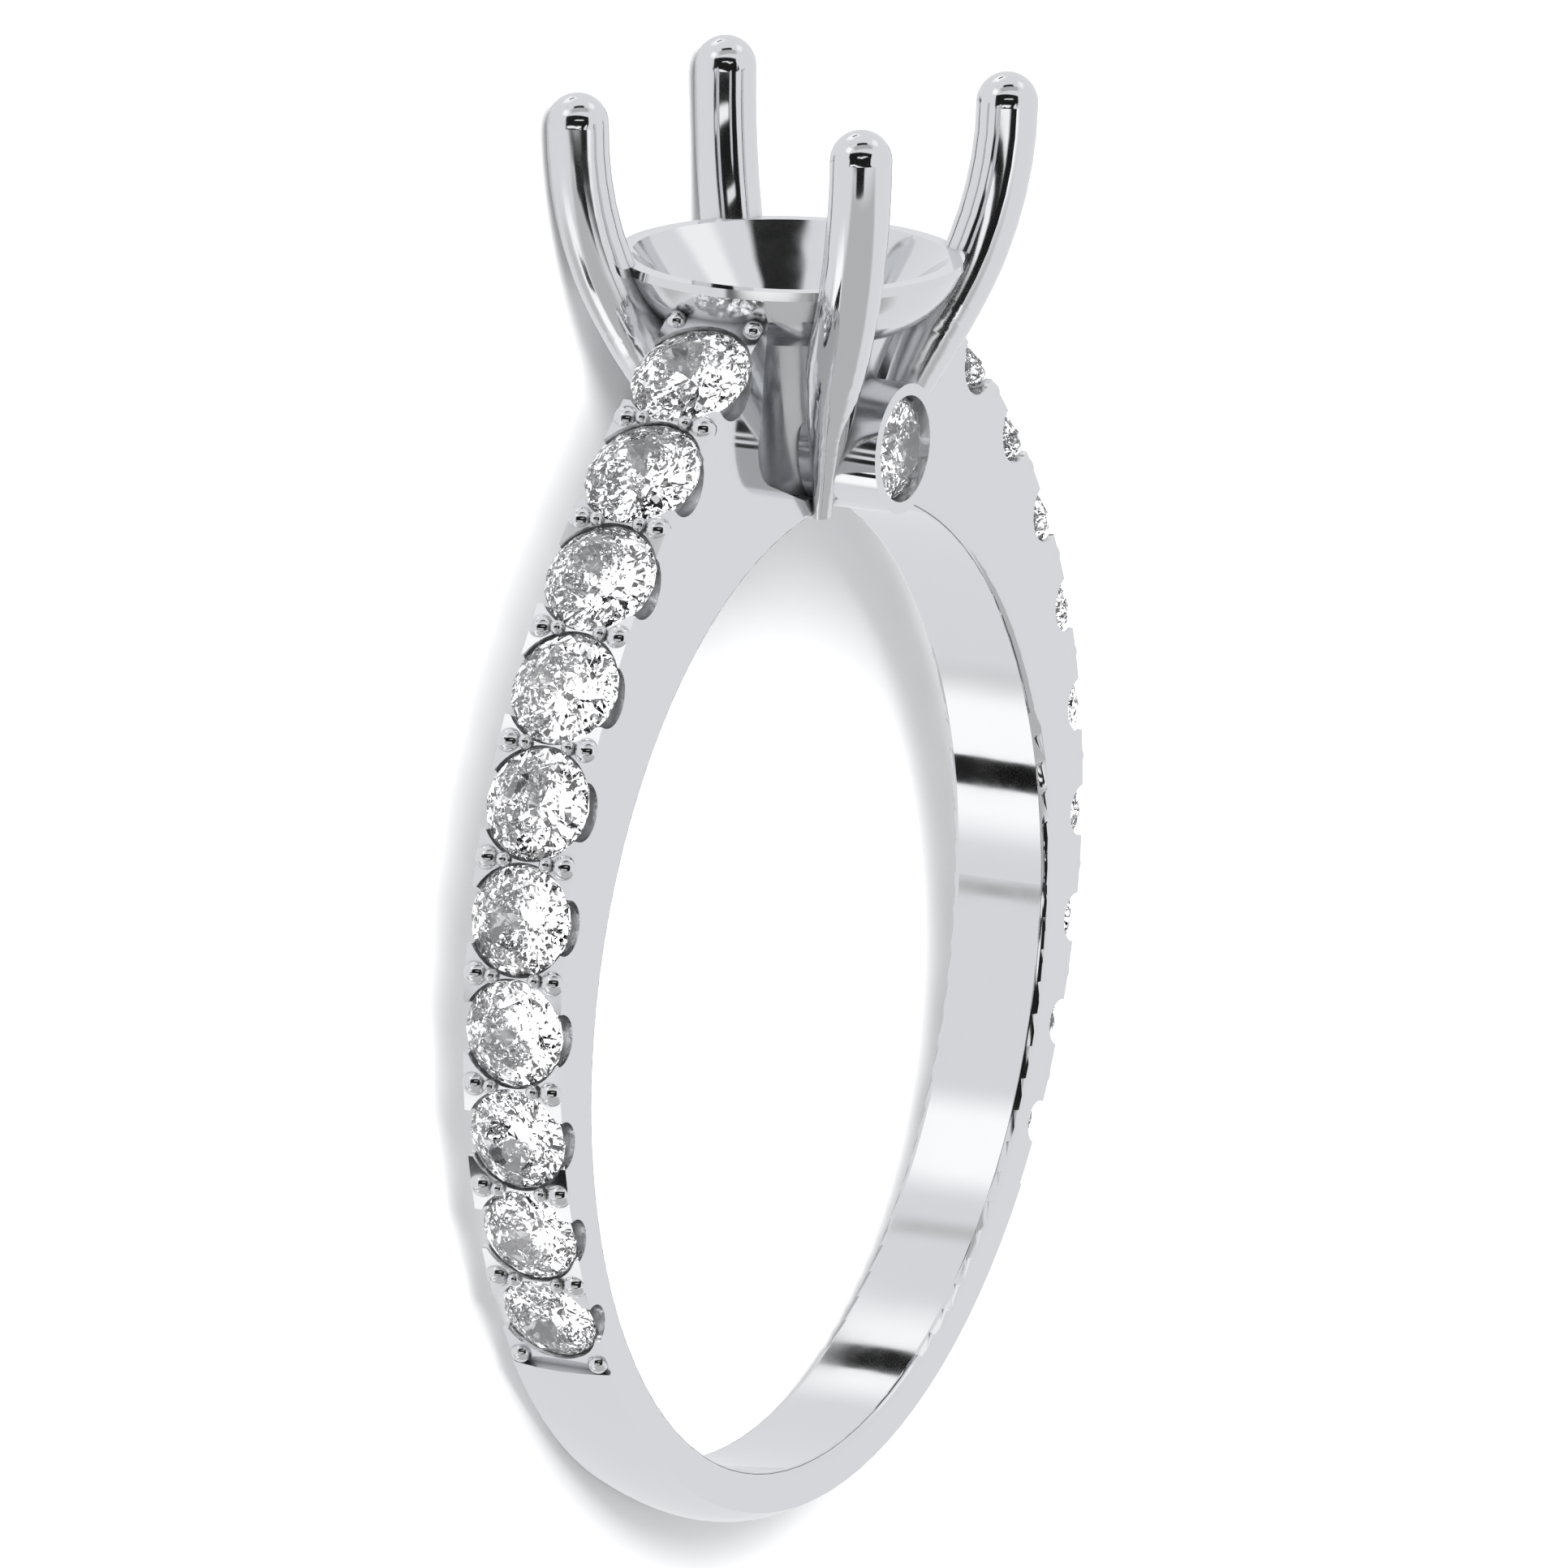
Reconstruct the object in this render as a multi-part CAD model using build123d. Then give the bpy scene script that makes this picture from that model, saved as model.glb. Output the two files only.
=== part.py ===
from build123d import *

import math
import os
from dataclasses import dataclass

# An engagement ring with ten round stones down each shoulder and a four-prong head
# that waits for its centre stone. Metal parts that are soldered or cast together are
# one solid. Each stone is a solid of its own, with a small gap to its seat.
#
# The ring is drawn with x across the finger, y from the finger's centre to the head and
# z along the finger, z = 0 in the middle of the band. Angles are measured from the head.
# At the end it is laid on its side, as it rests by itself. Sizes are in millimetres.

# Finger hole and plain lower band
finger_radius = 8.6
band_width = 1.9
plain_wall = 0.68
plain_crown = 0.32
inner_edge_round = 0.14

# Shoulders, which carry the side stones
pave_end_angle = 124.0
pave_crown = 0.08
shoulder_end_angle = 12.0
shoulder_wall = 4.08
cheek_gap = 2.97
cheek_height = 1.08
cheek_round = 0.75
bridge_wall = 0.34
bridge_reach = 1.1

# Side stones and the beads that hold them
largest_side_stone = 2.15
smallest_side_stone = 1.74
least_stone_spacing = 0.05
head_end_plate = 0.28
band_end_plate = 0.24
girdle_depth = 0.12
scallop_share = 0.30
last_scallop_share = 0.22
scallop_depth = 0.24
scallop_lift = 0.12
scallop_lag = 0.12
last_scallop_lag = -0.06
bead_radius = 0.23
bead_from_edge = 0.2
ridge_bead_radius = 0.13
ridge_bead_offset = 0.42
end_bead_radius = 0.19
bead_rise = 0.28

# Cut of every stone, as shares of its diameter
table_share = 0.57
crown_share = 0.145
girdle_share = 0.03
pavilion_share = 0.36
star_share = 0.80
lower_half_share = 0.22
stone_gap = 0.025
seat_gap = 0.04

# Head for the centre stone, heights measured up from the finger hole
prong_radius = 0.545
prong_foot_radius = 0.18
prong_foot_across = 0.5
prong_foot_along = 0.95
prong_spread = 3.92
prong_height = 7.49
prong_bend = 6.9
prong_lean = 30.0
rim_height = 4.42
rim_radius = 3.05
rim_lip = 0.28
rim_edge = 0.16
cup_height = 1.15
cup_foot_radius = 2.15
well_radius = 1.2
well_depth = 2.3
stem_neck_radius = 1.95
stem_waist_radius = 1.25
stem_waist_height = 1.4
base_radius = 0.95
base_height = 0.22

# Bezels on the two sides of the head
bezel_radius = 1.15
bezel_wall = 0.21
bezel_face = 2.33
bezel_height = 1.23
bezel_length = 1.5
bezel_setback = 0.24

half_width = band_width / 2
overlap = 0.3


@dataclass
class WallStation:
    """One place on the band's outline: its angle and its share of the rise."""

    angle: float
    share: float


# The wall grows from the plain band to the shoulder's end by these shares of the rise.
# The metal between the side stones lies a little lower than the plain band beside it.
plain_stations = (
    WallStation(180.0, 0.0),
    WallStation(162.0, 0.006),
    WallStation(143.0, 0.022),
    WallStation(pave_end_angle, 0.052),
)
shoulder_stations = (
    WallStation(pave_end_angle, 0.034),
    WallStation(105.0, 0.092),
    WallStation(90.0, 0.167),
    WallStation(75.0, 0.262),
    WallStation(60.0, 0.367),
    WallStation(45.0, 0.487),
    WallStation(28.0, 0.685),
    WallStation(shoulder_end_angle, 1.0),
)


@dataclass
class LegStation:
    """One section of a prong's leg: its share of the way down and how full it still is."""

    share: float
    fullness: float


leg_stations = (
    LegStation(0.0, 1.0),
    LegStation(0.15, 0.96),
    LegStation(0.35, 0.72),
    LegStation(0.6, 0.3),
    LegStation(1.0, 0.0),
)


@dataclass
class Seat:
    """A stone's place: its frame, with z out of the metal, its size and its two notches'."""

    plane: Plane
    diameter: float
    notch_radius: float
    notch_lag: float


def outline_radius(share):
    """Radius of the band's outer edge for a share of the rise."""
    return finger_radius + plain_wall + share * (shoulder_wall - plain_wall)


def around(angle, radius):
    """Point in the ring's plane at an angle from the head."""
    turn = math.radians(angle)
    return Vector(radius * math.sin(turn), radius * math.cos(turn), 0)


def shoulder_curve():
    """Outer edge of the right shoulder, from its end at the head down to the plain band."""
    points = [around(row.angle, outline_radius(row.share)) for row in shoulder_stations]
    return Spline(*reversed(points))


def shoulder_blank(curve):
    """Right half of the upper band as a flat plate, bridge included."""
    inner_radius = finger_radius - overlap
    top_end = curve @ 0
    low_end = curve @ 1
    slope_top = finger_radius + cheek_height
    cheek_foot = Vector(cheek_gap, slope_top, 0)
    bridge_end = Vector(bridge_reach, finger_radius + bridge_wall, 0)
    cheek = FilletPolyline(top_end, cheek_foot, bridge_end, radius=cheek_round)
    bridge_middle = Vector(0, finger_radius + bridge_wall, 0)
    inner_top = Vector(0, inner_radius, 0)
    inner_low = around(pave_end_angle, inner_radius)
    inner_mid = around(pave_end_angle / 2, inner_radius)
    edges = [
        curve,
        cheek,
        Line(bridge_end, bridge_middle),
        Line(bridge_middle, inner_top),
        ThreePointArc(inner_top, inner_mid, inner_low),
        Line(inner_low, low_end),
    ]
    return extrude(make_face(edges), amount=half_width, both=True)


def crown_rise(angle):
    """Height of the domed outer face over its edges, from the pave's end to the bottom."""
    part_way = (angle - pave_end_angle) / (180.0 - pave_end_angle)
    eased = part_way * part_way * (3 - 2 * part_way)
    return pave_crown + eased * (plain_crown - pave_crown)


def band_section(angle, edge_radius, rise):
    """Cross-section of the plain band, a little wider than the band itself."""
    wide = half_width + overlap
    drop = rise * ((wide / half_width) ** 2 - 1)
    inner_radius = finger_radius - overlap
    side_radius = edge_radius - drop
    frame = Plane(origin=(0, 0, 0), x_dir=(0, 0, 1), z_dir=-around(angle + 90, 1))
    outline = [
        Line((-wide, inner_radius), (wide, inner_radius)),
        Line((wide, inner_radius), (wide, side_radius)),
        ThreePointArc((wide, side_radius), (0, edge_radius + rise), (-wide, side_radius)),
        Line((-wide, side_radius), (-wide, inner_radius)),
    ]
    return frame * make_face(outline)


def plain_band():
    """Lower band, domed outside and flat at its sides, from one pave end to the other."""
    right = [(row.angle, row.share) for row in reversed(plain_stations)]
    left = [(360.0 - angle, share) for angle, share in reversed(right[:-1])]
    sections = []
    for angle, share in right + left:
        rise = crown_rise(min(angle, 360.0 - angle))
        sections.append(band_section(angle, outline_radius(share), rise))
    slab = Cylinder(outline_radius(1.0), band_width)
    return loft(sections) & slab


def shoulder_seats(curve):
    """Frames of the side stones on the right shoulder, largest stone next to the head."""
    mean_pitch = (largest_side_stone + smallest_side_stone) / 2 + least_stone_spacing
    room = curve.length - head_end_plate - band_end_plate
    count = int((room + least_stone_spacing) // mean_pitch)
    step_down = (largest_side_stone - smallest_side_stone) / (count - 1)
    diameters = [largest_side_stone - step_down * place for place in range(count)]
    spacing = (room - sum(diameters)) / (count - 1)
    seats = []
    reach = head_end_plate
    share_step = (scallop_share - last_scallop_share) / (count - 1)
    lag_step = (scallop_lag - last_scallop_lag) / (count - 1)
    for place, diameter in enumerate(diameters):
        frame = curve_frame(curve, reach + diameter / 2)
        notch_radius = (scallop_share - share_step * place) * diameter
        seats.append(Seat(frame, diameter, notch_radius, scallop_lag - lag_step * place))
        reach += diameter + spacing
    return seats, spacing


def curve_frame(curve, distance):
    """Frame at the girdles' level, a distance along the outline, with z out of the metal."""
    place = curve.position_at(distance, position_mode=PositionMode.LENGTH)
    along = curve.tangent_at(distance, position_mode=PositionMode.LENGTH)
    outward = Vector(-along.Y, along.X, 0)
    return Plane(origin=place - outward * girdle_depth, x_dir=along, z_dir=outward)


def brilliant(diameter):
    """Round brilliant with its girdle at z = 0 and its table up."""
    radius = diameter / 2
    table_radius = table_share * radius
    crown = crown_share * diameter
    half_girdle = girdle_share * diameter / 2
    pavilion = pavilion_share * diameter
    star_radius = star_share * radius
    lower_radius = lower_half_share * radius
    half_step = math.cos(math.radians(22.5))
    crown_slope = (crown - half_girdle) / (radius - table_radius)
    star_height = half_girdle + crown_slope * (radius - star_radius * half_step)
    pavilion_slope = (pavilion - half_girdle) / radius
    lower_height = -half_girdle - pavilion_slope * (radius - lower_radius * half_step)
    points = [(0, 0, -pavilion)]
    for place in range(16):
        turn = math.radians(22.5 * place)
        across, along = math.cos(turn), math.sin(turn)
        points.append((radius * across, radius * along, half_girdle))
        points.append((radius * across, radius * along, -half_girdle))
        if place % 2 == 0:
            points.append((table_radius * across, table_radius * along, crown))
        else:
            points.append((star_radius * across, star_radius * along, star_height))
            points.append((lower_radius * across, lower_radius * along, lower_height))
    return ConvexPolyhedron(points)


def turned(points):
    """Solid of revolution about z from a closed outline of (radius, height) points."""
    corners = [Vector(radius, 0, height) for radius, height in points]
    return revolve(make_face(Polyline(*corners, close=True)), Axis.Z)


def stone_room(diameter):
    """Space that a stone and its gap take, turned about the stone's axis."""
    radius = diameter / 2 + stone_gap
    half_girdle = girdle_share * diameter / 2 + stone_gap
    table_radius = table_share * diameter / 2 + stone_gap
    crown = crown_share * diameter + stone_gap
    pavilion = pavilion_share * diameter + stone_gap
    return turned(
        [(0, -pavilion), (radius, -half_girdle), (radius, half_girdle), (table_radius, crown), (0, crown)]
    )


def seat_cutter(diameter):
    """Pocket for a stone, straight above the girdle so that its crown is free."""
    radius = diameter / 2 + seat_gap
    half_girdle = girdle_share * diameter / 2 + seat_gap
    pavilion = pavilion_share * diameter + seat_gap
    top = girdle_depth + overlap
    return turned([(0, -pavilion), (radius, -half_girdle), (radius, top), (0, top)])


def scallop_pair(radius, lag):
    """Round notches in both side faces of the band, a little down the band from the stone."""
    length = scallop_depth + overlap
    reach = half_width - scallop_depth + length / 2
    notch = Rot(90, 0, 0) * Cylinder(radius, length)
    return [Pos(lag, side * reach, scallop_lift) * notch for side in (-1, 1)]


def bead(radius):
    """Round bead, sunk into the metal beside the stones that it holds."""
    return Pos(0, 0, bead_rise - radius) * Sphere(radius)


def bead_row(curve, seats, spacing):
    """Beads between the stones and at both ends of their row."""
    edge_offset = half_width - bead_from_edge
    beads = []
    reach = head_end_plate
    for seat in seats[:-1]:
        reach += seat.diameter + spacing
        frame = curve_frame(curve, reach - spacing / 2)
        for side in (-1, 1):
            beads.append(frame * Pos(0, side * edge_offset, 0) * bead(bead_radius))
            beads.append(frame * Pos(0, side * ridge_bead_offset, 0) * bead(ridge_bead_radius))
    for distance in (end_bead_radius, curve.length - end_bead_radius):
        frame = curve_frame(curve, distance)
        for side in (-1, 1):
            beads.append(frame * Pos(0, side * edge_offset, 0) * bead(end_bead_radius))
    return beads


def both_sides(shapes):
    """Shapes of the right shoulder with their mirror images for the left one."""
    return shapes + [mirror(shape, about=Plane.YZ) for shape in shapes]


def band_blank(curve):
    """Whole band with its finger hole and eased inner edges, before any stone is set."""
    band = both_sides([shoulder_blank(curve)]) + [plain_band()]
    band = band[0] + band[1:]
    band = band - Cylinder(finger_radius, band_width + overlap)
    hole_edges = [
        edge
        for edge in band.edges().filter_by(GeomType.CIRCLE)
        if abs(edge.radius - finger_radius) < 1e-4 and abs(abs(edge.center().Z) - half_width) < 1e-4
    ]
    return fillet(hole_edges, inner_edge_round)


def band_metal(curve, seats, spacing):
    """Whole band with its stone seats, scallops and beads."""
    cutters = []
    rooms = []
    for seat in seats:
        cutters.append(seat.plane * seat_cutter(seat.diameter))
        notches = scallop_pair(seat.notch_radius, seat.notch_lag)
        cutters.extend(seat.plane * notch for notch in notches)
        rooms.append(seat.plane * stone_room(seat.diameter))
    metal = band_blank(curve) - both_sides(cutters)
    metal = metal + both_sides(bead_row(curve, seats, spacing))
    return metal - both_sides(rooms)


def prong():
    """One prong on the positive sides of x and z, leaning in to a foot beside the axis."""
    tip_height = finger_radius + prong_height - prong_radius
    lean = math.radians(prong_lean)
    diagonal = Rot(0, -45, 0)
    top = Vector(prong_spread, tip_height, 0)
    bend_centre = Vector(prong_spread - prong_bend, tip_height, 0)
    bend_axis = Axis(origin=bend_centre, direction=(0, 0, -1))
    ring_face = Plane(origin=top, z_dir=(0, 1, 0)) * Circle(prong_radius)
    bend = diagonal * (revolve(ring_face, bend_axis, prong_lean) + Pos(top) * Sphere(prong_radius))
    across = Vector(math.sqrt(0.5), 0, math.sqrt(0.5))
    reach = prong_spread - prong_bend * (1 - math.cos(lean))
    joint = across * reach + Vector(0, tip_height - prong_bend * math.sin(lean), 0)
    downward = across * -math.sin(lean) + Vector(0, -math.cos(lean), 0)
    foot = Vector(prong_foot_across, finger_radius - overlap, prong_foot_along)
    path = Spline(joint, foot, tangents=(downward, foot - joint))
    sections = []
    for station in leg_stations:
        radius = prong_foot_radius + station.fullness * (prong_radius - prong_foot_radius)
        frame = Plane(origin=path @ station.share, x_dir=(1, 0, -1), z_dir=path % station.share)
        sections.append(frame * Circle(radius))
    return bend + loft(sections)


def head_turning():
    """Cup, stem and base of the head, turned about the head's axis."""
    rim = finger_radius + rim_height
    cup_foot = rim - cup_height
    waist = finger_radius + stem_waist_height
    base_top = finger_radius + base_height
    well_floor = rim - well_depth
    seat_inner = rim - rim_edge - (rim_radius - rim_lip - well_radius) * math.tan(math.radians(41))
    outline = [
        Line((0, finger_radius - overlap), (base_radius, finger_radius - overlap)),
        Line((base_radius, finger_radius - overlap), (base_radius, base_top)),
        ThreePointArc(
            (base_radius, base_top),
            (stem_waist_radius, waist),
            (stem_neck_radius, cup_foot),
        ),
        Line((stem_neck_radius, cup_foot), (cup_foot_radius, cup_foot)),
        ThreePointArc(
            (cup_foot_radius, cup_foot),
            ((cup_foot_radius + rim_radius) / 2 + rim_edge, (cup_foot + rim - rim_edge) / 2),
            (rim_radius, rim - rim_edge),
        ),
        Line((rim_radius, rim - rim_edge), (rim_radius, rim)),
        Line((rim_radius, rim), (rim_radius - rim_lip, rim)),
        Line((rim_radius - rim_lip, rim), (well_radius, seat_inner)),
        Line((well_radius, seat_inner), (well_radius, well_floor)),
        Line((well_radius, well_floor), (0, well_floor)),
        Line((0, well_floor), (0, finger_radius - overlap)),
    ]
    return revolve(make_face(outline), Axis.Y)


def bezel_frame(side):
    """Frame on the girdle plane of a bezel's stone; side is 1 in front and -1 behind."""
    origin = (0, finger_radius + bezel_height, side * (bezel_face - bezel_setback))
    return Plane(origin=origin, x_dir=(1, 0, 0), z_dir=(0, 0, side))


def bezel_stone_diameter():
    """Diameter of the stone that fits inside a bezel's wall."""
    return 2 * (bezel_radius - bezel_wall - stone_gap)


def bezel_cup(side):
    """Round cup of a bezel, up to its face."""
    frame = bezel_frame(side)
    start = bezel_setback - bezel_length
    blank = Pos(0, 0, start) * Cylinder(
        bezel_radius, bezel_length, align=(Align.CENTER, Align.CENTER, Align.MIN)
    )
    return frame * blank


def bezel_hollow(side):
    """Room inside a bezel for its stone."""
    diameter = bezel_stone_diameter()
    half_girdle = girdle_share * diameter / 2 + stone_gap
    pavilion = pavilion_share * diameter + stone_gap
    radius = bezel_radius - bezel_wall
    top = bezel_setback + overlap
    room = turned([(0, -pavilion), (radius, -half_girdle), (radius, top), (0, top)])
    return bezel_frame(side) * room


def head_metal():
    """Head with prongs, cup, stem, base and both bezels, trimmed to the finger hole."""
    front_right = prong()
    front = [front_right, mirror(front_right, about=Plane.YZ)]
    prongs = front + [mirror(piece, about=Plane.XY) for piece in front]
    metal = head_turning() + prongs + [bezel_cup(1), bezel_cup(-1)]
    metal = metal - [bezel_hollow(1), bezel_hollow(-1)]
    return metal - Cylinder(finger_radius, 4 * bezel_face)


def mirrored(frame):
    """The same frame on the left shoulder."""
    origin = frame.origin
    outward = frame.z_dir
    along = frame.x_dir
    return Plane(
        origin=(-origin.X, origin.Y, origin.Z),
        x_dir=(-along.X, along.Y, along.Z),
        z_dir=(-outward.X, outward.Y, outward.Z),
    )


def prong_low_point(tilt):
    """Lowest height of the two lower prongs when the ring is tipped by an angle."""
    slant = math.sqrt(math.sin(tilt) ** 2 + math.cos(tilt) ** 2 / 2)
    tip_height = finger_radius + prong_height - prong_radius
    centre = tip_height * math.sin(tilt) - (prong_spread - prong_bend) / math.sqrt(2) * math.cos(tilt)
    return centre - prong_bend * slant - prong_radius


def band_low_point(tilt):
    """Lowest height of the band's side face, opposite the head, at the same tilt."""
    return -outline_radius(0.0) * math.sin(tilt) - half_width * math.cos(tilt)


def resting_tilt():
    """Tilt at which two prongs and the band touch the table together, in radians."""
    low, high = 0.0, math.radians(30)
    for _ in range(60):
        middle = (low + high) / 2
        if prong_low_point(middle) < band_low_point(middle):
            low = middle
        else:
            high = middle
    return (low + high) / 2


def main():
    """Build every piece, lay the ring on its side and write the files."""
    curve = shoulder_curve()
    seats, spacing = shoulder_seats(curve)
    pieces = {"ring_mount": band_metal(curve, seats, spacing) + head_metal()}
    for place, seat in enumerate(seats, start=1):
        stone = brilliant(seat.diameter)
        pieces[f"side_stone_right_{place:02d}"] = seat.plane * stone
        pieces[f"side_stone_left_{place:02d}"] = mirrored(seat.plane) * stone
    bezel_stone = brilliant(bezel_stone_diameter())
    pieces["bezel_stone_front"] = bezel_frame(1) * bezel_stone
    pieces["bezel_stone_back"] = bezel_frame(-1) * bezel_stone

    tilt = resting_tilt()
    tipped = Rot(math.degrees(tilt), 0, 0)
    box = (tipped * pieces["ring_mount"]).bounding_box()
    lift = Pos(-box.center().X, -box.center().Y, -band_low_point(tilt))
    os.makedirs("parts", exist_ok=True)
    for name, piece in pieces.items():
        export_step(lift * tipped * piece, f"parts/{name}.step")
    print("tilt in degrees", round(math.degrees(tilt), 3))
    print("side stones on each shoulder", len(seats), "spacing", round(spacing, 3))
    print("middle of the finger hole", (lift * tipped).position)


main()
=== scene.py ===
"""Side stone engagement ring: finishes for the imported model, and a small photo studio round it.

The ring lies on its side, as it rests by itself. Its own axes are used to describe the view
and the studio: x across the ring, y along the finger away from the front, z up to the head.
All lengths in the scene are in metres.
"""

from __future__ import annotations

import logging
import math
from dataclasses import dataclass
from enum import Enum
from typing import Mapping, Union

import bpy
from mathutils import Matrix, Vector


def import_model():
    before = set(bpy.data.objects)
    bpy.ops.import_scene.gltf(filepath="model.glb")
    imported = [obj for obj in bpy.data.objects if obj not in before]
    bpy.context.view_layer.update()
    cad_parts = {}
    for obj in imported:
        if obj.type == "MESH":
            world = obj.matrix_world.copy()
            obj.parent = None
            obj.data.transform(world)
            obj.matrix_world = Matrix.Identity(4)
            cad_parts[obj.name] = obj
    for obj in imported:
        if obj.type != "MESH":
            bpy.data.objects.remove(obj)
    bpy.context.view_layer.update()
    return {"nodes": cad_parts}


log = logging.getLogger("ring")

MM = 0.001
MOUNT = "ring_mount"
NodeValue = Union[float, tuple, bpy.types.NodeSocket]


def linear(hex_colour: str) -> tuple[float, float, float, float]:
    """Turn an sRGB hex colour into linear light.

    Args:
        hex_colour: Six hex digits, with or without the leading #.

    Returns:
        Red, green, blue and an alpha of 1.
    """
    digits = hex_colour.lstrip("#")
    channels = [int(digits[place : place + 2], 16) / 255 for place in (0, 2, 4)]
    # The sRGB curve is straight near black and a power above it.
    red, green, blue = [
        value / 12.92 if value <= 0.04045 else ((value + 0.055) / 1.055) ** 2.4
        for value in channels
    ]
    return red, green, blue, 1.0


def add_node(
    tree: bpy.types.NodeTree,
    kind: str,
    settings: Mapping[str, object],
    inputs: Mapping[Union[str, int], NodeValue],
) -> bpy.types.Node:
    """Add one node with its settings, input values and links.

    Args:
        tree: Node tree that gets the node.
        kind: Node type, as Blender names it.
        settings: Properties of the node by name.
        inputs: Value or source socket for each input, by name or number.

    Returns:
        The new node.
    """
    node = tree.nodes.new(kind)
    for name, value in settings.items():
        setattr(node, name, value)
    for name, value in inputs.items():
        if isinstance(value, bpy.types.NodeSocket):
            tree.links.new(value, node.inputs[name])
        else:
            node.inputs[name].default_value = value
    return node


def new_material(name: str) -> bpy.types.Material:
    """Make an empty node material.

    Args:
        name: Plain name of the finish.

    Returns:
        The material, with no nodes in it.
    """
    material = bpy.data.materials.new(name)
    material.use_nodes = True
    material.node_tree.nodes.clear()
    return material


@dataclass(frozen=True)
class RingPose:
    """How the ring lies: its tip off level and the middle of its finger hole.

    Both hold for the part's sizes as they are, and a change of the part changes them.
    """

    tip_deg: float = 5.557
    middle: tuple[float, float, float] = (0.0, -3.36128 * MM, 1.84421 * MM)

    def turned(self, x: float, y: float, z: float) -> Vector:
        """Turn a direction in the ring's own axes into the scene's axes.

        Args:
            x: Share across the ring.
            y: Share along the finger, away from the front.
            z: Share up to the head.

        Returns:
            The direction in the scene.
        """
        tip = math.radians(self.tip_deg)
        return Vector(
            (
                x,
                z * math.cos(tip) + y * math.sin(tip),
                z * math.sin(tip) - y * math.cos(tip),
            )
        )

    def placed(self, x: float, y: float, z: float) -> Vector:
        """Place a point of the ring's own axes in the scene.

        Args:
            x: Across the ring, from the middle of the finger hole.
            y: Along the finger, away from the front.
            z: Up to the head.

        Returns:
            The point in the scene.
        """
        return Vector(self.middle) + self.turned(x, y, z)

    def bearing(self, azimuth_deg: float, elevation_deg: float) -> Vector:
        """Direction away from the ring, by two angles in the ring's own axes.

        Args:
            azimuth_deg: 0 is straight in front of the ring and 90 at its left.
            elevation_deg: Angle up to the head's side.

        Returns:
            A unit vector in the scene.
        """
        azimuth = math.radians(azimuth_deg)
        elevation = math.radians(elevation_deg)
        return self.turned(
            -math.sin(azimuth) * math.cos(elevation),
            -math.cos(azimuth) * math.cos(elevation),
            math.sin(elevation),
        )


@dataclass(frozen=True)
class Viewpoint:
    """Camera at the photograph's angle to the ring.

    Its angles, distance and target were fitted to the photograph. The target is a point of
    the ring's own axes. The lens and the sensor are in millimetres.
    """

    pose: RingPose
    azimuth_deg: float = 62.764
    elevation_deg: float = 13.664
    roll_deg: float = 1.135
    distance: float = 567.97 * MM
    target: tuple[float, float, float] = (0.164 * MM, 0.0, 3.4855 * MM)
    sensor_width: float = 36.0
    lens: float = 745.34
    nearest: float = 0.01
    farthest: float = 20.0

    def build(self) -> bpy.types.Object:
        """Create the camera and make it the scene's.

        Returns:
            The camera.
        """
        back = self.pose.bearing(self.azimuth_deg, self.elevation_deg)
        level = self.pose.turned(0.0, 0.0, 1.0).cross(back).normalized()
        upright = back.cross(level)
        roll = math.radians(self.roll_deg)
        right = level * math.cos(roll) + upright * math.sin(roll)
        up = upright * math.cos(roll) - level * math.sin(roll)
        data = bpy.data.cameras.new("photo_camera")
        data.sensor_width = self.sensor_width
        data.sensor_fit = "HORIZONTAL"
        data.lens = self.lens
        data.clip_start = self.nearest
        data.clip_end = self.farthest
        camera = bpy.data.objects.new("photo_camera", data)
        bpy.context.scene.collection.objects.link(camera)
        turn = Matrix((right, up, back)).transposed().to_4x4()
        spot = self.pose.placed(*self.target) + back * self.distance
        camera.matrix_world = Matrix.Translation(spot) @ turn
        bpy.context.scene.camera = camera
        return camera


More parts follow.
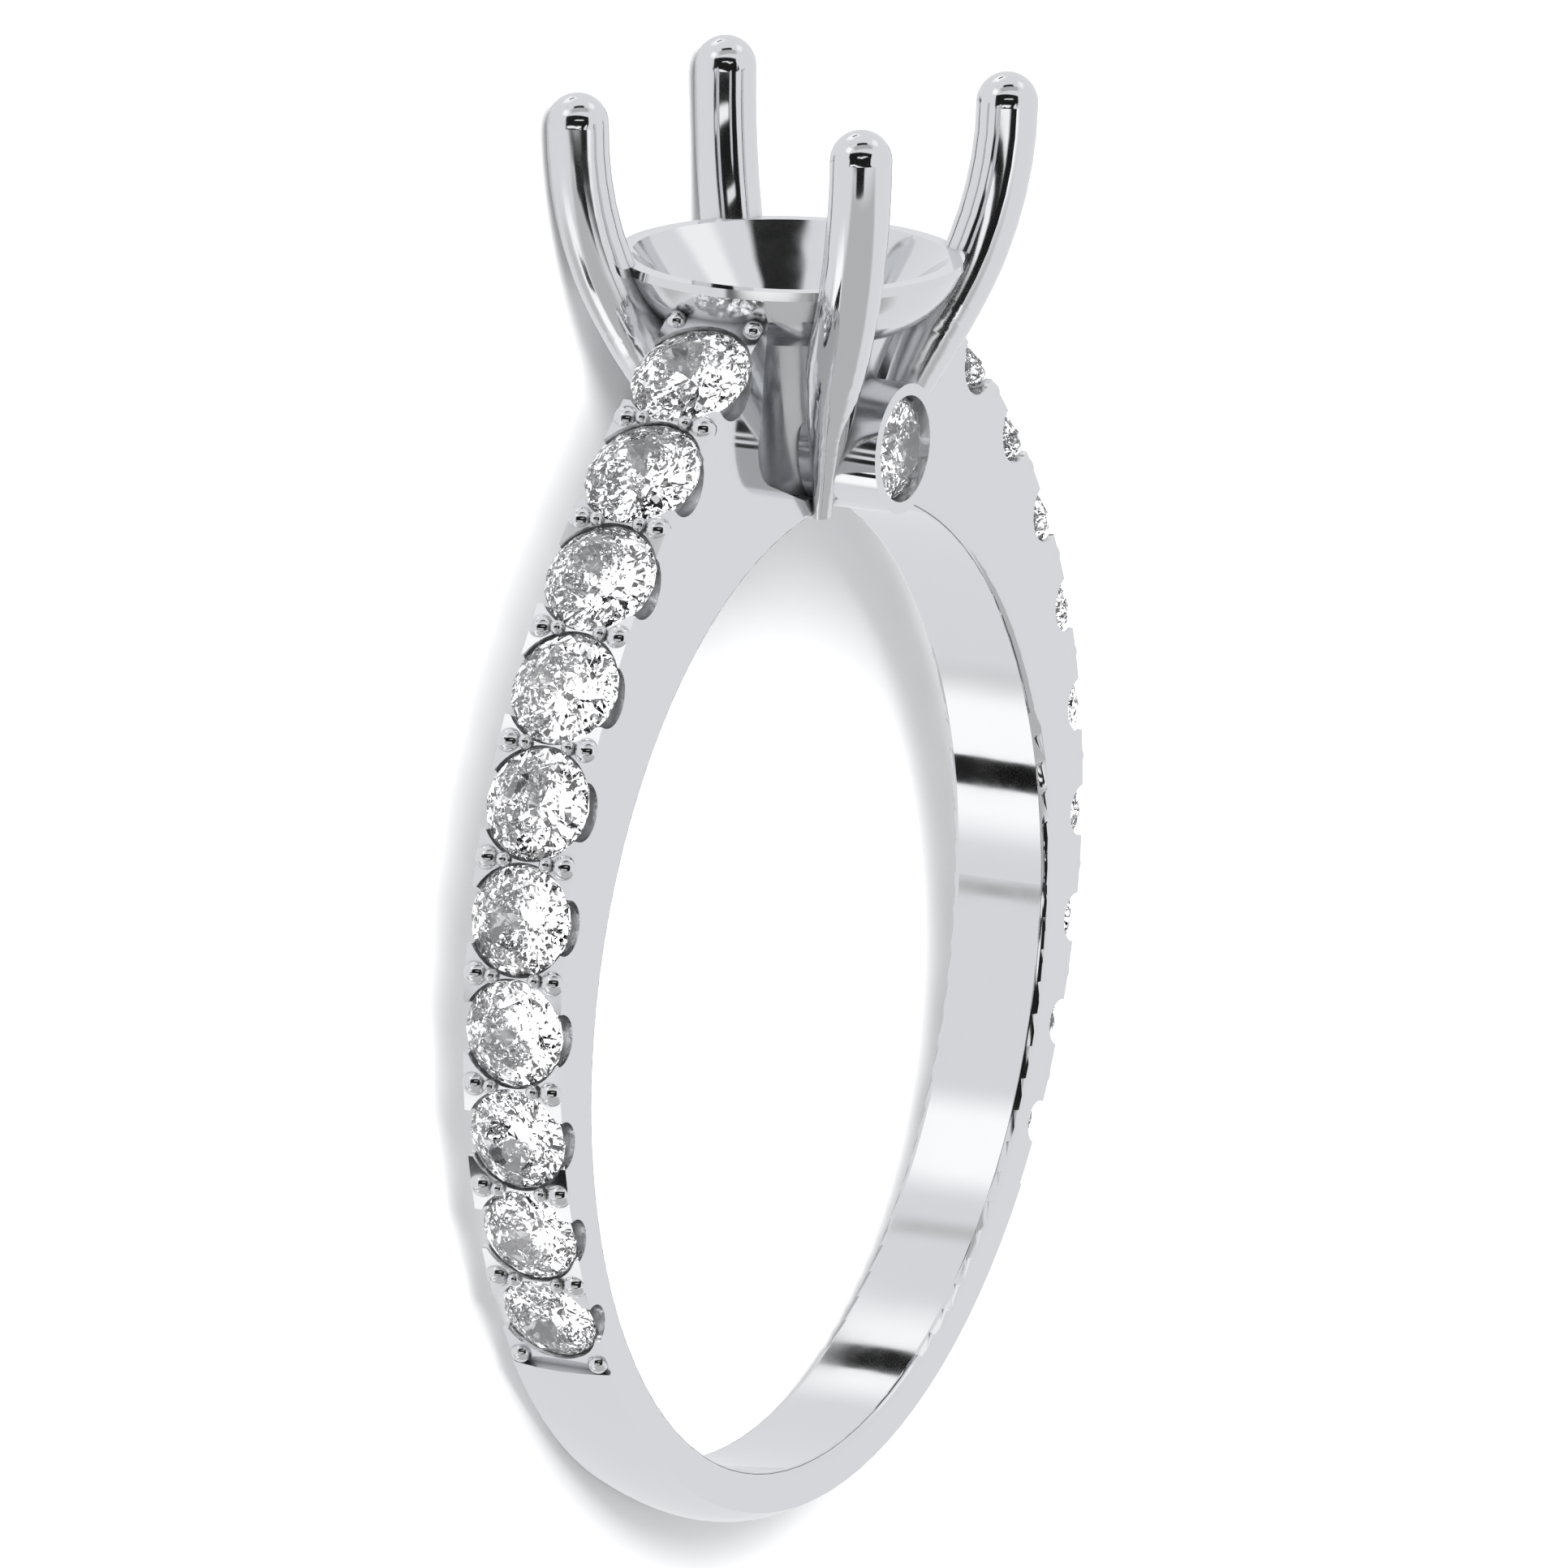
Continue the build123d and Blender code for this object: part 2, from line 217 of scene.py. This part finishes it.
@dataclass(frozen=True)
class PolishedWhiteGold:
    """White gold, cast, polished by hand and plated with rhodium.

    Rhodium is a hard, nearly neutral mirror, so the eye sees sharp dark and light bands.
    The wheel leaves broad faces a little wavy, and it doesn't reach deep corners, which
    stay softer. Narrow gaps get a darker colour, a painted shade that draws a dark line
    round each stone.
    """

    colour: str = "#E2E3E5"
    gloss: float = 0.05
    dull: float = 0.09
    wear_patch: float = 0.7 * MM
    wear_detail: float = 4.0
    wear_grain: float = 0.6
    wear_from: float = 0.35
    wear_to: float = 0.75
    wave_length: float = 1.6 * MM
    wave_detail: float = 1.0
    wave_height: float = 0.004 * MM
    corner_reach: float = 1.5 * MM
    corner_dull: float = 0.35
    corner_from: float = 0.25
    corner_to: float = 0.85
    gap_reach: float = 0.3 * MM
    gap_light: float = 0.5
    gap_from: float = 0.3
    gap_to: float = 0.8
    corner_samples: int = 6

    def build(self) -> bpy.types.Material:
        """Make the material.

        Returns:
            The finish for the mount.
        """
        material = new_material("rhodium_plated_white_gold")
        tree = material.node_tree
        place = add_node(tree, "ShaderNodeTexCoord", {}, {})
        # Hand polish is uneven in patches under a millimetre, which breaks up long highlights.
        wear = add_node(
            tree,
            "ShaderNodeTexNoise",
            {},
            {
                "Vector": place.outputs["Object"],
                "Scale": 1 / self.wear_patch,
                "Detail": self.wear_detail,
                "Roughness": self.wear_grain,
            },
        )
        gloss = add_node(
            tree,
            "ShaderNodeMapRange",
            {},
            {
                "Value": wear.outputs["Fac"],
                "From Min": self.wear_from,
                "From Max": self.wear_to,
                "To Min": self.gloss,
                "To Max": self.dull,
            },
        )
        # The wheel leaves waves a few microns deep, which bend reflected edges slightly.
        wave = add_node(
            tree,
            "ShaderNodeTexNoise",
            {},
            {
                "Vector": place.outputs["Object"],
                "Scale": 1 / self.wave_length,
                "Detail": self.wave_detail,
            },
        )
        relief = add_node(
            tree,
            "ShaderNodeBump",
            {},
            {
                "Height": wave.outputs["Fac"],
                "Strength": 1.0,
                "Distance": self.wave_height,
            },
        )
        # Under the cup and between the legs the cast skin is only brushed, so it is softer.
        corner = add_node(
            tree,
            "ShaderNodeAmbientOcclusion",
            {"samples": self.corner_samples},
            {"Distance": self.corner_reach},
        )
        polish = add_node(
            tree,
            "ShaderNodeMapRange",
            {},
            {
                "Value": corner.outputs["AO"],
                "From Min": self.corner_from,
                "From Max": self.corner_to,
                "To Min": self.corner_dull,
                "To Max": gloss.outputs["Result"],
            },
        )
        # The gaps round the stones and at the beads' feet are narrower than 0.3 mm. There an
        # occlusion node darkens the base colour: painted shade.
        gap = add_node(
            tree,
            "ShaderNodeAmbientOcclusion",
            {"samples": self.corner_samples},
            {"Distance": self.gap_reach},
        )
        painted_gap_shade = add_node(
            tree,
            "ShaderNodeMapRange",
            {},
            {
                "Value": gap.outputs["AO"],
                "From Min": self.gap_from,
                "From Max": self.gap_to,
                "To Min": self.gap_light,
                "To Max": 1.0,
            },
        )
        # The metal's colour is multiplied by the painted gap shade.
        # For colours, the mix node's inputs are 0, 6 and 7, and its output is 2.
        shaded_colour = add_node(
            tree,
            "ShaderNodeMix",
            {"data_type": "RGBA", "blend_type": "MULTIPLY"},
            {0: 1.0, 6: linear(self.colour), 7: painted_gap_shade.outputs["Result"]},
        )
        metal = add_node(
            tree,
            "ShaderNodeBsdfPrincipled",
            {},
            {
                "Base Color": shaded_colour.outputs[2],
                "Metallic": 1.0,
                "Roughness": polish.outputs["Result"],
                "Normal": relief.outputs["Normal"],
            },
        )
        add_node(
            tree,
            "ShaderNodeOutputMaterial",
            {},
            {"Surface": metal.outputs["BSDF"]},
        )
        return material


@dataclass(frozen=True)
class Diamond:
    """Colourless diamond, cut as a round brilliant and polished on every facet.

    A high refraction and many facets break the room into small, sharp, light and dark
    flecks. In so small a stone the real ones are about 0.1 mm across. They are drawn
    0.34 mm across, as coarse as they need to be to show.
    """

    colour: str = "#FCFCFE"
    refraction: float = 2.417
    fleck: float = 0.34 * MM
    fleck_tilt: float = 0.15

    def build(self) -> bpy.types.Material:
        """Make the material.

        Returns:
            The finish for every stone.
        """
        material = new_material("brilliant_cut_diamond")
        tree = material.node_tree
        place = add_node(tree, "ShaderNodeTexCoord", {}, {})
        # Each cell is one small facet that leans a few degrees away from the large one. Cell
        # colours run from 0 to 1, so half is taken off to let them lean to either side.
        flecks = add_node(
            tree,
            "ShaderNodeTexVoronoi",
            {"feature": "F1"},
            {"Vector": place.outputs["Object"], "Scale": 1 / self.fleck},
        )
        lean = add_node(
            tree,
            "ShaderNodeVectorMath",
            {"operation": "SUBTRACT"},
            {0: flecks.outputs["Color"], 1: (0.5, 0.5, 0.5)},
        )
        facet = add_node(tree, "ShaderNodeNewGeometry", {}, {})
        tilted = add_node(
            tree,
            "ShaderNodeVectorMath",
            {"operation": "MULTIPLY_ADD"},
            {
                0: lean.outputs["Vector"],
                1: (self.fleck_tilt,) * 3,
                2: facet.outputs["Normal"],
            },
        )
        facing = add_node(
            tree,
            "ShaderNodeVectorMath",
            {"operation": "NORMALIZE"},
            {0: tilted.outputs["Vector"]},
        )
        stone = add_node(
            tree,
            "ShaderNodeBsdfPrincipled",
            {},
            {
                "Base Color": linear(self.colour),
                "Roughness": 0.0,
                "IOR": self.refraction,
                "Transmission Weight": 1.0,
                "Normal": facing.outputs["Vector"],
            },
        )
        add_node(
            tree,
            "ShaderNodeOutputMaterial",
            {},
            {"Surface": stone.outputs["BSDF"]},
        )
        return material


class Sight(Enum):
    """Which pieces show a studio object."""

    METAL = "metal"
    STONES = "stones"


def hide_from_camera(thing: bpy.types.Object, sight: Sight) -> None:
    """Leave a studio object to reflections alone.

    Args:
        thing: A card or a tent.
        sight: Whether the metal or the stones show it.
    """
    thing.visible_camera = False
    thing.visible_shadow = False
    thing.visible_diffuse = False
    thing.visible_glossy = sight is Sight.METAL
    thing.visible_transmission = sight is Sight.STONES


@dataclass(frozen=True)
class Card:
    """A soft-edged card that the metal reflects. The camera doesn't see it.

    Its light is a share of full white. Its place and its size are angles seen from the
    ring, in the ring's own axes, and its distance is in metres.
    """

    name: str
    light: float
    azimuth_deg: float
    elevation_deg: float
    wide_deg: float
    tall_deg: float
    softness: float
    distance: float

    def material(self) -> bpy.types.Material:
        """Make the glowing board, clear at its edges.

        Returns:
            The card's material.
        """
        material = new_material(self.name)
        material.cycles.emission_sampling = "NONE"
        tree = material.node_tree
        place = add_node(tree, "ShaderNodeTexCoord", {}, {})
        across = add_node(
            tree, "ShaderNodeSeparateXYZ", {}, {"Vector": place.outputs["UV"]}
        )
        masks = []
        for axis in ("X", "Y"):
            # Distance from the nearer edge, as a share of the card's size.
            edge = add_node(
                tree,
                "ShaderNodeMath",
                {"operation": "PINGPONG"},
                {0: across.outputs[axis], 1: 0.5},
            )
            mask = add_node(
                tree,
                "ShaderNodeMapRange",
                {"interpolation_type": "SMOOTHSTEP"},
                {
                    "Value": edge.outputs["Value"],
                    "From Min": 0.0,
                    "From Max": self.softness / 2,
                },
            )
            masks.append(mask.outputs["Result"])
        cover = add_node(
            tree, "ShaderNodeMath", {"operation": "MULTIPLY"}, {0: masks[0], 1: masks[1]}
        )
        glow = add_node(
            tree,
            "ShaderNodeEmission",
            {},
            {"Color": (1.0, 1.0, 1.0, 1.0), "Strength": self.light},
        )
        clear = add_node(tree, "ShaderNodeBsdfTransparent", {}, {})
        board = add_node(
            tree,
            "ShaderNodeMixShader",
            {},
            {
                0: cover.outputs["Value"],
                1: clear.outputs["BSDF"],
                2: glow.outputs["Emission"],
            },
        )
        add_node(
            tree, "ShaderNodeOutputMaterial", {}, {"Surface": board.outputs["Shader"]}
        )
        return material

    def build(self, pose: RingPose) -> bpy.types.Object:
        """Stand the card up, facing the ring.

        Args:
            pose: How the ring lies.

        Returns:
            The card.
        """
        away = pose.bearing(self.azimuth_deg, self.elevation_deg)
        level = pose.bearing(self.azimuth_deg - 90.0, 0.0)
        upright = away.cross(level)
        wide = 2 * self.distance * math.tan(math.radians(self.wide_deg / 2))
        tall = 2 * self.distance * math.tan(math.radians(self.tall_deg / 2))
        bpy.ops.object.select_all(action="DESELECT")
        bpy.ops.mesh.primitive_plane_add(size=1.0)
        card = bpy.context.active_object
        card.name = self.name
        turn = Matrix((level * wide, upright * tall, away)).transposed().to_4x4()
        spot = pose.placed(0.0, 0.0, 0.0) + away * self.distance
        card.data.transform(Matrix.Translation(spot) @ turn)
        card.data.materials.append(self.material())
        hide_from_camera(card, Sight.METAL)
        return card


# Name, light, azimuth, elevation, width, height, softness and distance of each card.
CARDS = (
    # The grey table under the ring, seen by the legs and the lower faces.
    Card("table_below", 0.56, 50.0, -56.0, 100.0, 82.0, 0.3, 0.6),
    # The dark room behind the camera, with lit slots: the dark bands down the prongs.
    Card("dark_room", 0.015, 65.0, 14.0, 90.0, 62.0, 0.12, 0.46),
    Card("dark_corner", 0.015, 64.0, -15.5, 32.0, 8.0, 0.3, 0.45),
    Card("lit_slot_low", 1.15, 76.0, -9.4, 62.0, 6.0, 0.4, 0.42),
    Card("lit_slot_middle", 1.15, 77.0, 1.7, 62.0, 7.0, 0.4, 0.42),
    Card("lit_slot_high", 0.95, 57.0, 26.0, 40.0, 5.0, 0.5, 0.42),
    Card("lit_edge", 1.25, 21.0, -11.5, 20.0, 5.0, 0.6, 0.42),
    # The ceiling and its hatch: the domed prong tips and the window in the cup.
    Card("grey_ceiling", 0.52, 50.0, 66.0, 70.0, 22.0, 0.4, 0.44),
    Card("dark_hatch", 0.02, 52.0, 77.5, 36.0, 10.0, 0.25, 0.42),
    Card("light_upper_right", 1.1, -45.0, 52.0, 30.0, 22.0, 0.6, 0.45),
    # White cards with dark bars and grey lines: the bands inside the finger hole.
    Card("grey_low_back", 0.6, 163.0, -37.0, 38.0, 26.0, 0.5, 0.5),
    Card("white_low", 1.25, 128.0, -40.0, 32.0, 42.0, 0.5, 0.47),
    Card("dark_low_band", 0.01, 123.5, -37.0, 16.0, 6.8, 0.12, 0.42),
    Card("white_high", 1.25, 126.0, 42.0, 26.0, 24.0, 0.6, 0.5),
    Card("white_high_back", 1.2, -150.0, 54.0, 36.0, 28.0, 0.5, 0.5),
    Card("dark_high_band", 0.01, -142.5, 56.0, 12.0, 5.6, 0.12, 0.42),
    Card("grey_line_low", 0.5, 116.4, -9.4, 10.0, 2.4, 0.8, 0.44),
    Card("grey_line_high", 0.62, 146.0, 58.2, 8.0, 5.0, 0.9, 0.44),
)


@dataclass(frozen=True)
class SparkleTent:
    """A tent of small light and dark panes, which only the stones show.

    A diamond breaks what stands round it into many small pieces, so a plain white room
    would leave it dull.
    """

    radius: float = 0.36
    pane: float = 0.10
    light: float = 2.3
    dark: float = 0.01
    dark_share: float = 0.38
    half_light: float = 0.15
    smoothness: int = 4

    def build(self) -> bpy.types.Object:
        """Put the tent up round the ring.

        Returns:
            The tent.
        """
        material = new_material("sparkle_tent")
        material.cycles.emission_sampling = "NONE"
        tree = material.node_tree
        place = add_node(tree, "ShaderNodeTexCoord", {}, {})
        panes = add_node(
            tree,
            "ShaderNodeTexVoronoi",
            {"feature": "F1"},
            {"Vector": place.outputs["Object"], "Scale": 1 / self.pane},
        )
        shade = add_node(
            tree, "ShaderNodeSeparateColor", {}, {"Color": panes.outputs["Color"]}
        )
        level = add_node(
            tree,
            "ShaderNodeMapRange",
            {},
            {
                "Value": shade.outputs["Red"],
                "From Min": self.dark_share,
                "From Max": self.dark_share + self.half_light,
                "To Min": self.dark,
                "To Max": self.light,
            },
        )
        glow = add_node(
            tree, "ShaderNodeEmission", {}, {"Strength": level.outputs["Result"]}
        )
        add_node(
            tree, "ShaderNodeOutputMaterial", {}, {"Surface": glow.outputs["Emission"]}
        )
        bpy.ops.object.select_all(action="DESELECT")
        bpy.ops.mesh.primitive_ico_sphere_add(
            subdivisions=self.smoothness, radius=self.radius
        )
        tent = bpy.context.active_object
        tent.name = "sparkle_tent"
        tent.data.materials.append(material)
        hide_from_camera(tent, Sight.STONES)
        return tent


@dataclass(frozen=True)
class Studio:
    """Plain pale floor, soft light from all sides, the cards and the tent.

    The lamp's power is in watts.
    """

    pose: RingPose
    floor_size: float = 4.0
    floor_colour: str = "#F7F7F7"
    room_colour: str = "#F9FAFC"
    room_light: float = 0.9
    lamp_power: float = 7.0
    lamp_size: float = 0.5
    lamp_place: tuple[float, float, float] = (-0.40, 0.50, 0.62)
    mirror_bounces: int = 16
    stone_bounces: int = 24

    def build_floor(self) -> bpy.types.Object:
        """Lay the floor under the ring.

        Returns:
            The floor.
        """
        bpy.ops.object.select_all(action="DESELECT")
        bpy.ops.mesh.primitive_plane_add(size=self.floor_size)
        floor = bpy.context.active_object
        floor.name = "floor"
        material = new_material("matt_white_board")
        board = add_node(
            material.node_tree,
            "ShaderNodeBsdfDiffuse",
            {},
            {"Color": linear(self.floor_colour), "Roughness": 1.0},
        )
        add_node(
            material.node_tree,
            "ShaderNodeOutputMaterial",
            {},
            {"Surface": board.outputs["BSDF"]},
        )
        floor.data.materials.append(material)
        # The metal and the stones show the cards and the tent in its place.
        floor.visible_glossy = False
        floor.visible_transmission = False
        return floor

    def build_room(self) -> bpy.types.World:
        """Light the room evenly from all sides.

        Returns:
            The room.
        """
        world = bpy.data.worlds.new("white_room")
        world.use_nodes = True
        tree = world.node_tree
        tree.nodes.clear()
        room = add_node(
            tree,
            "ShaderNodeBackground",
            {},
            {"Color": linear(self.room_colour), "Strength": self.room_light},
        )
        add_node(
            tree,
            "ShaderNodeOutputWorld",
            {},
            {"Surface": room.outputs["Background"]},
        )
        bpy.context.scene.world = world
        return world

    def build_lamp(self) -> bpy.types.Object:
        """Hang one large soft lamp over the head, which whitens the floor.

        Returns:
            The lamp.
        """
        lamp = bpy.data.lights.new("soft_top_lamp", "AREA")
        lamp.shape = "SQUARE"
        lamp.size = self.lamp_size
        lamp.energy = self.lamp_power
        top = bpy.data.objects.new("soft_top_lamp", lamp)
        place = Vector(self.lamp_place)
        turn = place.to_track_quat("Z", "Y").to_matrix().to_4x4()
        top.matrix_world = Matrix.Translation(place) @ turn
        top.visible_glossy = False
        top.visible_transmission = False
        bpy.context.scene.collection.objects.link(top)
        return top

    def build(self) -> None:
        """Set up the whole studio, and let light bounce often enough inside the stones."""
        self.build_floor()
        self.build_room()
        self.build_lamp()
        for card in CARDS:
            card.build(self.pose)
        SparkleTent().build()
        paths = bpy.context.scene.cycles
        paths.max_bounces = self.stone_bounces
        paths.glossy_bounces = self.mirror_bounces
        paths.transmission_bounces = self.stone_bounces
        picture = bpy.context.scene.view_settings
        picture.view_transform = "Standard"
        picture.look = "None"
        log.info("studio has a floor, a lamp, a tent and %d cards", len(CARDS))


@dataclass(frozen=True)
class Ring:
    """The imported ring: its mount and its stones."""

    nodes: Mapping[str, bpy.types.Object]

    def dress(self) -> None:
        """Give the mount and every stone its finish."""
        gold = PolishedWhiteGold().build()
        diamond = Diamond().build()
        for name, node in sorted(self.nodes.items()):
            finish, slot = (gold, "white_gold") if name == MOUNT else (diamond, "diamond")
            node.data.materials.clear()
            node.data.materials.append(finish)
            log.info("%s is finished as %s", name, finish.name)


def main() -> None:
    """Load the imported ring, dress it and build the studio and the camera."""
    logging.basicConfig(level=logging.INFO, format="%(name)s: %(message)s")
    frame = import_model()
    pose = RingPose()
    Viewpoint(pose).build()
    Ring(frame["nodes"]).dress()
    Studio(pose).build()


if __name__ == "__main__":
    main()
